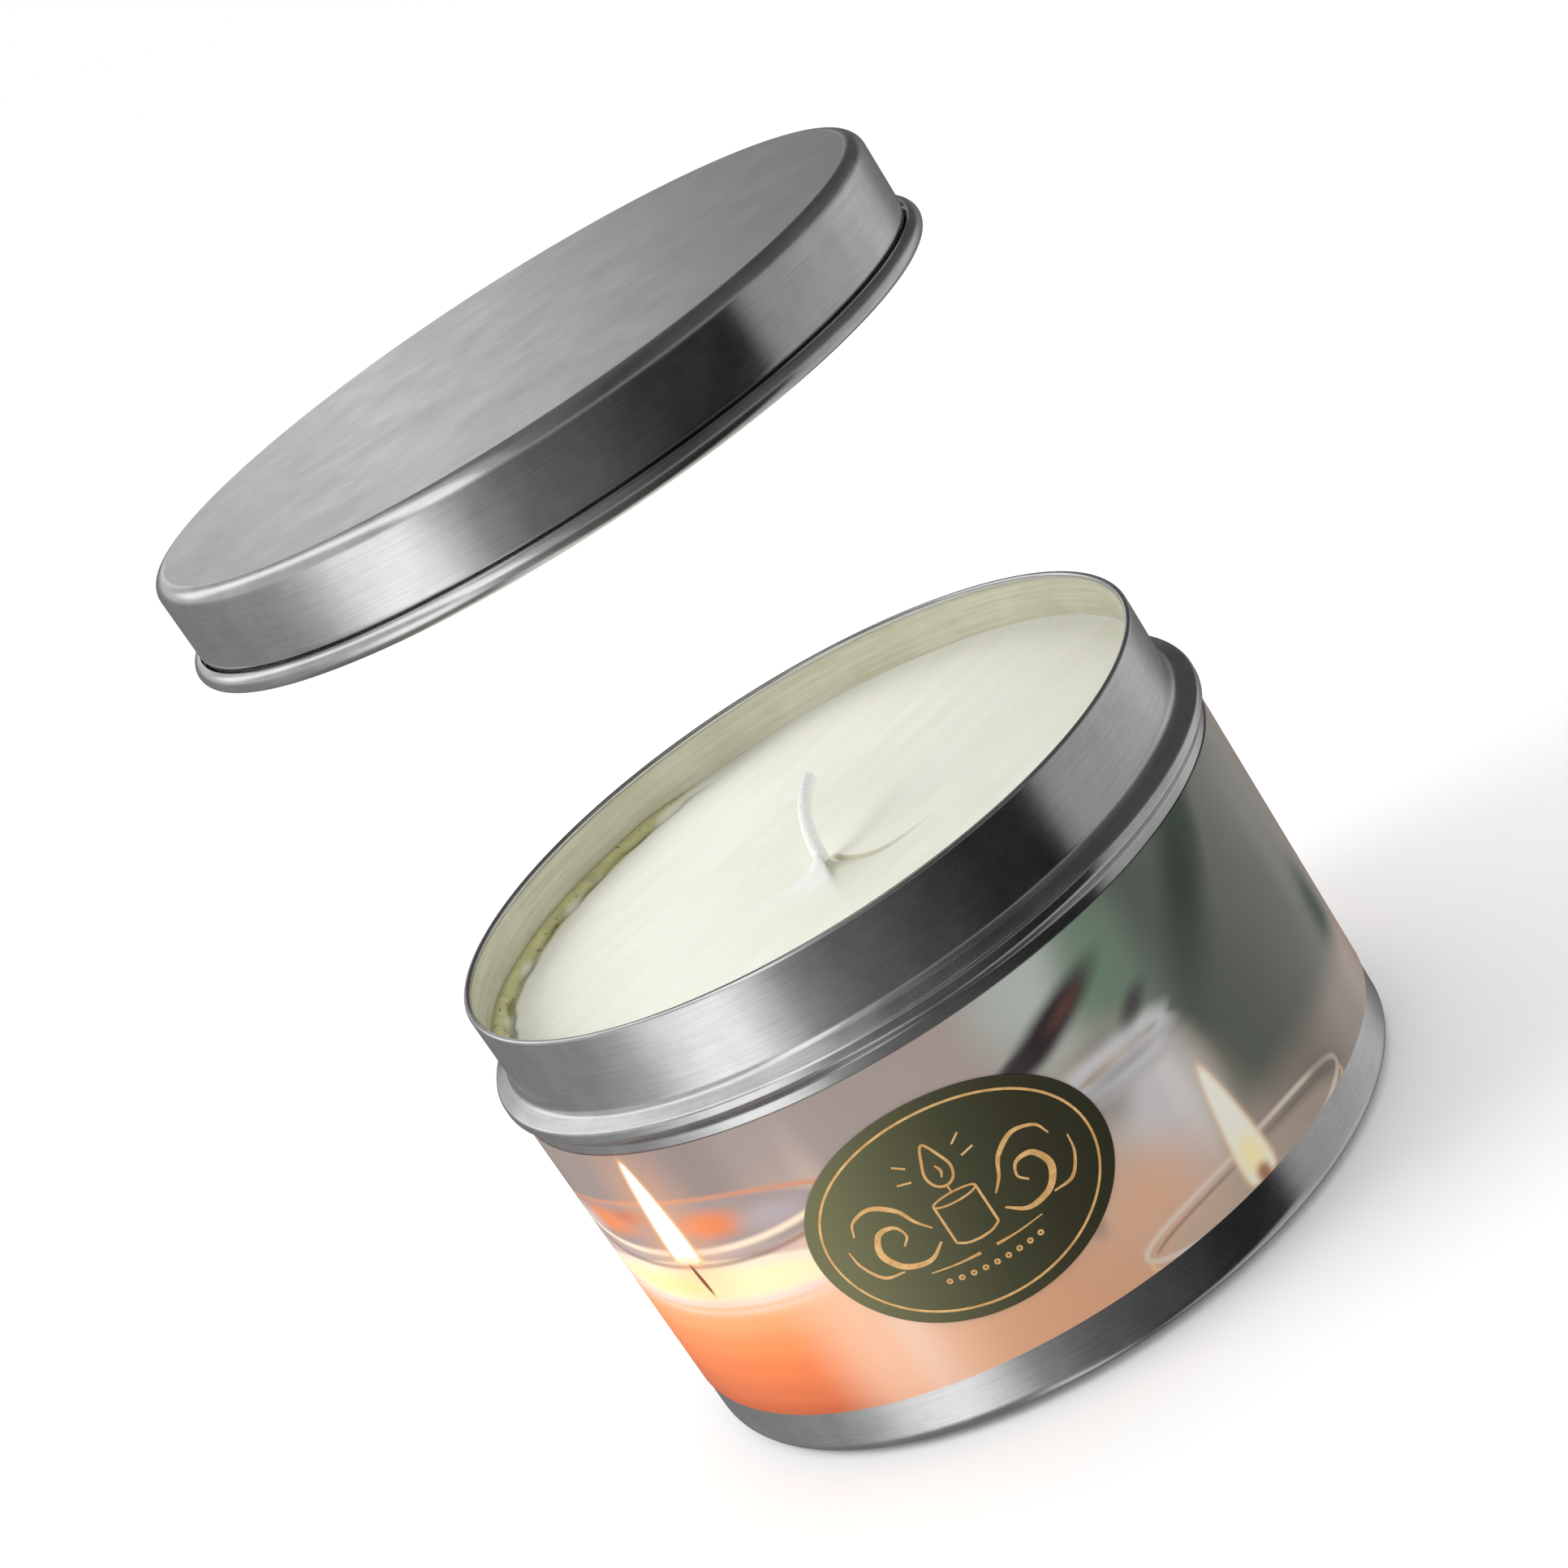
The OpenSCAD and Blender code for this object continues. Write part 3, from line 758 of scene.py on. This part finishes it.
def make_emblem():
    """Gold print: an oval border round a candle between two scrolls, with dots below."""
    verts, faces = [], []

    def oval(centre, size, width, steps=96):
        turn = np.linspace(0, 2 * math.pi, steps, endpoint=False)
        loop = [(centre[0] + size[0] * math.cos(a), centre[1] + size[1] * math.sin(a)) for a in turn]
        gold_line(loop, [width], verts, faces, closed=True)

    def stroke(points, widths, mirrored=True):
        gold_line(smooth_curve(points), widths, verts, faces)
        if mirrored:
            gold_line(smooth_curve([(-s, z) for s, z in points]), widths, verts, faces)

    oval((0, 0), (13.2, 9.85), 0.24)
    flame = [(0, 6.9), (0.9, 5.2), (1.25, 3.9), (0.85, 2.8), (0, 2.4),
             (-0.85, 2.8), (-1.25, 3.9), (-0.9, 5.2)]
    gold_line(smooth_curve(flame, closed=True), [0.26], verts, faces, closed=True)
    stroke([(0, 4.6), (0.25, 3.9), (0, 3.3)], [0.16, 0.3, 0.16], mirrored=False)
    stroke([(0, 2.3), (0, 1.5)], [0.2], mirrored=False)
    oval((0, 1.1), (2.1, 0.5), 0.2, 48)
    stroke([(2.1, 1.05), (2.1, -1.0), (2.1, -3.0)], [0.24])
    stroke([(2.1, -3.0), (1.2, -3.45), (0, -3.6)], [0.24])
    stroke([(3.2, -2.2), (5.0, -3.4), (7.4, -2.9), (8.6, -1.0), (7.8, 0.9), (6.2, 1.0), (5.6, -0.2),
            (6.3, -1.1)], [0.2, 0.55, 0.7, 0.5, 0.25, 0.2])
    stroke([(3.2, -0.6), (4.2, 0.6), (5.2, 2.4), (7.2, 3.6), (9.2, 3.0), (9.9, 1.6)],
           [0.18, 0.32, 0.5, 0.3, 0.16])
    stroke([(7.6, -3.4), (9.6, -3.2), (10.9, -1.4), (11.2, 0.4)], [0.16, 0.36, 0.26, 0.14])
    stroke([(2.3, 5.6), (3.3, 6.3)], [0.2])
    stroke([(2.5, 4.2), (3.8, 4.5)], [0.2])
    for k in range(-4, 5):
        oval((k * 1.15, -6.4 + 0.022 * k * k), (0.2, 0.2), 0.2, 16)
    stroke([(0.8, -4.9), (3.0, -4.85), (5.6, -4.6)], [0.3, 0.18, 0.12])
    return finish_mesh("sticker_gold_print", verts, faces, [gold_foil()])


def make_wax(steps=360):
    """The poured wax: a closed body that fills the tin, with the marks of its cooling on top, and an
    attribute with its stain, painted shade and a painted highlight.
    """
    outer = NECK_R - SHEET - HAIR
    radii = np.concatenate([np.linspace(0, 16 * MM, 84), np.linspace(16.3 * MM, outer - 3 * MM, 50),
                            np.linspace(outer - 2.85 * MM, outer, 24)])
    turn = np.array([around(k, steps) for k in range(steps)])
    r, a = np.meshgrid(radii[1:], turn, indexing="ij")
    x, y = r * np.cos(a) / MM, r * np.sin(a) / MM
    height, olive, dark, shade, mound_highlight = wax_surface(x, y, outer / MM)
    verts = [(0.0, 0.0, WAX_Z + float(height[0].mean()) * MM)]
    verts += list(zip((x * MM).ravel(), (y * MM).ravel(), (WAX_Z + height * MM).ravel()))
    stain_and_painted_light = [(0.0,) * 4] + list(zip(olive.ravel(), dark.ravel(), shade.ravel(), mound_highlight.ravel()))
    faces = [(0, 1 + k, 1 + (k + 1) % steps) for k in range(steps)]
    rows = len(radii) - 1

    def bridge(low, high):
        return [(low + k, high + k, high + (k + 1) % steps, low + (k + 1) % steps) for k in range(steps)]

    for i in range(rows - 1):
        faces += bridge(1 + i * steps, 1 + (i + 1) * steps)
    inside = [p for p in beside(tin_line(), SHEET + HAIR) if p[1] < WAX_Z - 1 * MM and p[0] > 1 * MM]
    inside = [p for p in inside if p[0] > NECK_R - 2 * MM or p[1] < 2 * MM][::-1]
    last = 1 + (rows - 1) * steps
    for pr, pz in inside:
        first = len(verts)
        verts += [(pr * math.cos(t), pr * math.sin(t), pz) for t in turn]
        stain_and_painted_light += [(0.0,) * 4] * steps
        faces += bridge(last, first)
        last = first
    verts.append((0.0, 0.0, inside[-1][1]))
    stain_and_painted_light.append((0.0,) * 4)
    faces += [(len(verts) - 1, last + (k + 1) % steps, last + k) for k in range(steps)]
    wax = finish_mesh("wax_body", verts, faces, [candle_wax()], sharp=50)
    # the attribute's channels: olive stain, painted shade in the groove, painted shade in the crease and
    # hollow, painted highlight on the mound
    layer = wax.data.color_attributes.new(name="stain_and_painted_light", type="FLOAT_COLOR", domain="POINT")
    layer.data.foreach_set("color", np.array(stain_and_painted_light, np.float32).ravel())
    return wax


# the crease in the wax, from the wick outwards, in millimetres
CREASE = [(1.5, -5.9), (2.9, -7.7), (4.6, -9.4), (6.5, -10.2), (8.8, -10.1), (12.4, -8.6)]


def bell(value, middle, width):
    return np.exp(-((value - middle) / width) ** 2)


def wax_surface(x, y, outer):
    """Height of the wax over its level, in millimetres, its olive stain, the painted shade in the groove by
    the stain, the painted shade in the crease and hollow, and the painted highlight on the mound.
    """
    r, turn = np.hypot(x, y), np.degrees(np.arctan2(y, x)) % 360
    height = 0.05 * np.sin(x * 0.16 + 0.4) * np.cos(y * 0.13) + 0.03 * np.sin(x * 0.31 + y * 0.22)
    # the wax climbs a little where it meets the tin
    height += 0.28 * np.exp((r - outer) / 0.5)
    ridge, olive, dark = left_ridge(r, turn, outer)
    # the foot of the wick: a cone of wax, and a low spill in front of it
    wx, wy = WICK_EXIT[0] / MM, WICK_EXIT[1] / MM
    near = np.hypot(x - wx, y - wy)
    facing = np.degrees(np.arctan2(y - wy, x - wx)) % 360
    spread = np.clip((facing - 172) / 26, 0, 1) * np.clip((282 - facing) / 9, 0, 1)
    height += ridge + 0.75 * np.exp(-np.clip(near - 0.6, 0, None) / 0.55)
    height += 0.95 * np.exp(-near / 3.0) * spread * spread * (3 - 2 * spread)
    fold, shade, nearer = wax_crease(x, y)
    # painted shade in the hollow beside the wick, on the near side of the crease
    hollow_shade = 0.7 * np.clip((facing - 276) / 5, 0, 1) * np.clip((350 - facing) / 20, 0, 1)
    shade = np.maximum(shade, hollow_shade * np.exp(-near / 4.5) * nearer)
    # painted highlight: the mound of wax at the wick's foot is marked to be lightened
    mound_highlight = spread * np.exp(-np.clip(near - 3.5, 0, None) / 1.6)
    return height + fold, olive, dark, np.clip(shade, 0, 1), mound_highlight


def left_ridge(r, turn, outer):
    """A stained, uneven ridge along the left of the wall: its height, its olive stain, and the painted shade
    in the groove along the stain's inner edge.
    """
    around_wall = np.radians(turn)
    waver = 0.5 * np.sin(around_wall * 17) + 0.35 * np.sin(around_wall * 41 + 1.0)
    along = np.clip((turn - 104) / 22, 0, 1) * np.clip((212 - turn) / 16, 0, 1)
    along = along * along * (3 - 2 * along)
    inner = outer - (2.2 + 0.5 * waver) * along
    seam = outer - 1.5 + 0.3 * waver
    height = along * (0.75 * bell(r, outer - 0.5, 0.9) - 0.35 * bell(r, seam, 0.4))
    olive = np.clip((r - inner) / 0.9, 0, 1) * (along > 0) * np.clip(along * 1.6, 0, 1)
    olive = olive * (1 - 0.35 * bell(r, inner + 0.3, 0.35))
    low_end = np.clip((turn - 150) / 30, 0, 1)
    # painted shade: a dark line in the groove at the seam, and a wider, fainter painted shade just inside it
    # that grows towards the low end
    dark = 0.9 * along * bell(r, seam, 0.22) * (0.7 + 0.3 * np.sin(around_wall * 29))
    dark = np.maximum(dark, (0.25 + 0.5 * low_end) * along * bell(r, seam - 0.45, 0.3))
    return height, olive, dark


def wax_crease(x, y):
    """The crease's height and shade, and where the wax is on its near side. Its far side stands higher."""
    path = np.array(smooth_curve(CREASE))
    gap = np.full(x.shape, 1e9)
    side, share = np.zeros(x.shape), np.zeros(x.shape)
    for i in range(len(path) - 1):
        ax, ay = path[i]
        dx, dy = path[i + 1] - path[i]
        t = np.clip(((x - ax) * dx + (y - ay) * dy) / (dx * dx + dy * dy), 0, 1)
        away = np.hypot(x - ax - t * dx, y - ay - t * dy)
        cross = dx * (y - ay) - dy * (x - ax)
        closer = away < gap
        gap = np.where(closer, away, gap)
        side = np.where(closer, np.sign(cross), side)
        share = np.where(closer, (i + t) / (len(path) - 1), share)
    depth = np.clip(1.0 - share, 0, 1) ** 0.7 * np.clip(share * 8 + 0.4, 0, 1)
    signed = gap * side
    step = np.clip(signed / 0.2 + 0.5, 0, 1)
    height = depth * (step * 0.16 * np.exp(-gap / 1.6) - (1 - step) * 0.34 * np.exp(-gap / 2.4))
    # painted shade: a dark line along the crease, and a softer painted shade on its near side
    line = np.exp(-(np.clip(gap - 0.05, 0, None) / 0.16) ** 2) * np.clip(share * 12, 0, 1)
    soft_shade = 0.35 * (signed < 0) * np.exp(-gap / 0.9) * np.clip(share * 4 - 0.6, 0, 1)
    return height, depth * np.maximum(0.95 * line, soft_shade), signed < 0


def wick_route():
    """The wick's middle line: up through its crimp, slanting to its exit, then leaning back."""
    low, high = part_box("wick_braid")
    foot, top = low[2], high[2] - WICK_R
    tip = Vector((WICK_EXIT[0] + 1.7 * MM, WICK_EXIT[1] + 8.4 * MM, top))
    pull = WICK_EXIT + Vector((-0.425 * MM, 2.18 * MM, (top - WAX_Z) * 0.9))
    crimp_top = Vector((0, 0, foot + CRIMP_H))
    stem = [Vector((0, 0, foot + 0.02 * MM)), crimp_top]
    stem += [crimp_top.lerp(WICK_EXIT, t) for t in (0.25, 0.5, 0.75)]
    for t in np.linspace(0, 1, 12):
        stem.append((1 - t) ** 2 * WICK_EXIT + 2 * t * (1 - t) * pull + t * t * tip)
    return stem


def braid_tree(material):
    """Geometry nodes: strands that wind both ways round a route, over and under each other."""
    tree = bpy.data.node_groups.new("braid_round_route", "GeometryNodeTree")
    for name, kind in (("Route", "Geometry"), ("Strands", "Int"), ("Turns", "Float"),
                       ("Winding radius", "Float"), ("Strand radius", "Float"), ("Weave depth", "Float")):
        tree.interface.new_socket(name, in_out="INPUT", socket_type="NodeSocket" + kind)
    tree.interface.new_socket("Braid", in_out="OUTPUT", socket_type="NodeSocketGeometry")
    net = Net(tree)
    given = tree.nodes.new("NodeGroupInput").outputs
    sampled = tree.nodes.new("GeometryNodeResampleCurve")
    net.put(sampled.inputs["Curve"], given["Route"])
    net.put(sampled.inputs["Count"], 260)
    copies = tree.nodes.new("GeometryNodeDuplicateElements")
    copies.domain = "SPLINE"
    net.put(copies.inputs["Geometry"], sampled.outputs[0])
    net.put(copies.inputs["Amount"], given["Strands"])
    number = copies.outputs["Duplicate Index"]
    way = net.math("MULTIPLY_ADD", net.math("MODULO", number, 2.0), 2.0, -1.0)
    share = tree.nodes.new("GeometryNodeSplineParameter").outputs["Factor"]
    wound = net.math("MULTIPLY", net.math("MULTIPLY", share, given["Turns"]), 2 * math.pi)
    start = net.math("MULTIPLY", net.math("DIVIDE", number, given["Strands"]), 2 * math.pi)
    angle = net.math("MULTIPLY_ADD", wound, way, start)
    weave = net.math("MULTIPLY", net.math("SINE", net.math("MULTIPLY", wound, 4.0)), way)
    radius = net.math("MULTIPLY_ADD", weave, given["Weave depth"], given["Winding radius"])
    normal = tree.nodes.new("GeometryNodeInputNormal").outputs[0]
    tangent = tree.nodes.new("GeometryNodeInputTangent").outputs[0]
    across = net.vector("CROSS_PRODUCT", tangent, normal)

    def scaled(vector, amount):
        node = tree.nodes.new("ShaderNodeVectorMath")
        node.operation = "SCALE"
        net.put(node.inputs[0], vector)
        net.put(node.inputs["Scale"], amount)
        return node.outputs[0]

    aside = net.vector("ADD", scaled(normal, net.math("COSINE", angle)),
                       scaled(across, net.math("SINE", angle)))
    moved = tree.nodes.new("GeometryNodeSetPosition")
    net.put(moved.inputs["Geometry"], copies.outputs["Geometry"])
    net.put(moved.inputs["Offset"], scaled(aside, radius))
    circle = tree.nodes.new("GeometryNodeCurvePrimitiveCircle")
    net.put(circle.inputs["Resolution"], 10)
    net.put(circle.inputs["Radius"], given["Strand radius"])
    swept = tree.nodes.new("GeometryNodeCurveToMesh")
    net.put(swept.inputs["Curve"], moved.outputs[0])
    net.put(swept.inputs["Profile Curve"], circle.outputs[0])
    net.put(swept.inputs["Fill Caps"], True)
    real = tree.nodes.new("GeometryNodeRealizeInstances")
    net.put(real.inputs[0], swept.outputs[0])
    coloured = tree.nodes.new("GeometryNodeSetMaterial")
    net.put(coloured.inputs["Geometry"], real.outputs[0])
    coloured.inputs["Material"].default_value = material
    net.put(tree.nodes.new("NodeGroupOutput").inputs["Braid"], coloured.outputs[0])
    return tree


def make_wick():
    """The braid, wound by its node tree and then kept as a plain mesh."""
    curve = bpy.data.curves.new("wick_route", "CURVE")
    curve.dimensions = "3D"
    spline = curve.splines.new("POLY")
    points = wick_route()
    spline.points.add(len(points) - 1)
    for point, place in zip(spline.points, points):
        point.co = (*place, 1.0)
    winding = add_to_scene("wick_winding", curve)
    tree = braid_tree(waxed_cotton())
    modifier = winding.modifiers.new("braid", "NODES")
    modifier.node_group = tree
    sizes = {"Strands": 12, "Turns": 15.0, "Winding radius": 0.38 * MM, "Strand radius": 0.35 * MM,
             "Weave depth": 0.01 * MM}
    for item in tree.interface.items_tree:
        if item.name in sizes:
            modifier[item.identifier] = sizes[item.name]
    depsgraph = bpy.context.evaluated_depsgraph_get()
    mesh = bpy.data.meshes.new_from_object(winding.evaluated_get(depsgraph), depsgraph=depsgraph)
    mesh.name = "wick_strands"
    bpy.data.objects.remove(winding)
    face_out(mesh, sharp=50)
    return add_to_scene("wick_strands", mesh)


# ---------------------------------------------------------------- studio

# what the tinplate mirrors round the horizon: degrees from +X towards +Y, and brightness
SIDE_BOXES = [
    (-180, 0.35), (-165, 0.55), (-150, 1.1), (-142, 1.3), (-130, 1.35), (-120, 0.85), (-110, 0.32),
    (-95, 0.15), (-70, 0.08), (-45, 0.025), (-20, 0.012), (-15, 0.3), (-8, 0.4), (20, 0.45), (45, 0.6),
    (57, 0.5), (68, 0.24), (90, 0.12), (135, 0.25), (180, 0.35)]


def make_world():
    """White to the eye, a ring of soft boxes and dark flags to the tinplate, and even light to the rest."""
    world = bpy.data.worlds.new("studio")
    bpy.context.scene.world = world
    world.use_nodes = True
    world.cycles.sampling_method = "NONE"
    tree = world.node_tree
    tree.nodes.clear()
    net = Net(tree)
    way = net.add("ShaderNodeSeparateXYZ", net.add("ShaderNodeTexCoord", out=0))
    x, y, z = way, way.node.outputs[1], way.node.outputs[2]
    turn = net.math("ADD", net.math("DIVIDE", net.math("ARCTAN2", y, x), 2 * math.pi), 0.5)
    rise = net.math("MULTIPLY", net.math("ARCSINE", z), 180 / math.pi)

    def ring(stops):
        return net.ramp(turn, [((angle + 180) / 360, grey(level)) for angle, level in stops], "LINEAR")

    sides = ring(SIDE_BOXES)
    # the top of the lid looks just over the far horizon, the shoulder and the rim look overhead
    lid_part = ring([(-180, 0.6), (45, 0.3), (65, 0.08), (88, 0.08), (97, 0.5), (103, 1.1), (107, 0.8),
                     (115, 0.6), (180, 0.6)])
    aside = net.fit(net.math("MULTIPLY_ADD", y, 0.2, x), -1.0, 1.0)
    overhead = net.ramp(aside, [
        (0.0, grey(0.6)), (0.13, grey(0.5)), (0.2, grey(1.4)), (0.3, grey(1.2)), (0.34, grey(0.4)),
        (0.38, grey(0.5)), (0.43, grey(0.22)), (0.5, grey(0.17)), (0.55, grey(0.12)), (0.63, grey(0.07)),
        (1.0, grey(0.12))], "LINEAR")
    over = net.blend(net.rise(rise, 13.0, 17.0), lid_part, overhead)
    # the band under the shoulder looks steeply down, at a darker floor on the left
    below = net.math("MULTIPLY", net.rise(rise, -28.0, -45.0), net.fit(x, -0.15, -0.35))
    sides = net.blend(below, sides, grey(0.2))
    mirrored = net.blend(net.rise(rise, 3.0, 8.0), sides, over)
    path = net.add("ShaderNodeLightPath", out=0)
    eye, glossy = path, path.node.outputs["Is Glossy Ray"]
    back = net.math("MULTIPLY", net.fit(y, -0.3, 0.6), net.fit(rise, 60.0, 25.0))
    even = net.blend(net.fit(y, -0.7, 0.3), grey(0.8), grey(1.12))
    even = net.blend(back, even, grey(1.6))
    shown = net.blend(glossy, even, mirrored)
    shown = net.blend(eye, shown, grey(1.0))
    light = net.add("ShaderNodeBackground", shown, 1.0)
    net.put(tree.nodes.new("ShaderNodeOutputWorld").inputs[0], light)


def make_lamp(name, place, aim, size, power):
    data = bpy.data.lights.new(name, "AREA")
    data.shape = "DISK"
    data.size = size
    data.energy = power
    lamp = add_to_scene(name, data)
    lamp.location = place
    lamp.rotation_euler = (Vector(aim) - Vector(place)).to_track_quat("-Z", "Y").to_euler()
    lamp.visible_glossy = False


def make_floor():
    mat = material("pale_floor", Base_Color=(0.91, 0.91, 0.91, 1), Roughness=0.9, Specular_IOR_Level=0.0)[0]
    reach, level = 6.0, -0.2 * MM
    corners = [(x * reach, y * reach, level) for x, y in ((-1, -1), (1, -1), (1, 1), (-1, 1))]
    mesh = bpy.data.meshes.new("floor")
    mesh.from_pydata(corners, [], [(0, 1, 2, 3)])
    mesh.materials.append(mat)
    floor = add_to_scene("floor", mesh)
    floor.visible_glossy = False


def make_camera():
    """Above the front right of the tin, and rolled, so that the tin leans to the left."""
    eye = Vector((59.8 * MM, -318.6 * MM, 155.35 * MM))
    aim = Vector((0.2 * MM, 0.0, 50.45 * MM))
    roll = math.radians(-33.15)
    data = bpy.data.cameras.new("camera")
    data.sensor_width = 36.0
    data.lens = 82.5
    data.clip_start = 0.01
    data.clip_end = 20.0
    camera = add_to_scene("camera", data)
    camera.location = eye
    camera.rotation_mode = "QUATERNION"
    camera.rotation_quaternion = (aim - eye).to_track_quat("-Z", "Y") @ Quaternion((0, 0, 1), roll)
    bpy.context.scene.camera = camera


make_camera()
make_world()
make_lamp("key", (-0.45, -0.05, 0.38), (0, 0, 0.045), 0.4, 1.6)
make_floor()
bpy.context.scene.view_settings.view_transform = "Standard"

tin_shell, lid_shell = make_shells()
wrap = make_wrap_label()
sticker = make_sticker()
emblem = make_emblem()
wax = make_wax()
wick = make_wick()

for piece, node, body, slot in (
        (tin_shell, "tin_body", "tin", "tinplate"), (lid_shell, "lid", "lid", "tinplate"),
        (wrap, "wrap_label", "tin", "label_film"), (sticker, "oval_sticker", "tin", "sticker_film"),
        (emblem, None, "tin", "sticker_film"), (wax, "wax_fill", "tin", "wax"),
        (wick, "wick_braid", "tin", "cotton")):
    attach(piece, body)
    if node:
        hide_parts(node)

hidden_parts = {
    "wick_core": plain_stuff("core_paper", srgb(226, 218, 200), srgb(240, 236, 226), 1800.0, 0.7),
    "wick_sustainer": plain_stuff("sustainer_steel", grey(0.55), grey(0.72), 900.0, 0.32, 1.0),
    "wick_adhesive_pad": plain_stuff("pad_foam", srgb(228, 228, 224), srgb(246, 246, 244), 1500.0, 0.85)}
for node, stuff in hidden_parts.items():
    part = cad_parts[node]
    part.data.materials.clear()
    part.data.materials.append(stuff)

bpy.context.view_layer.update()
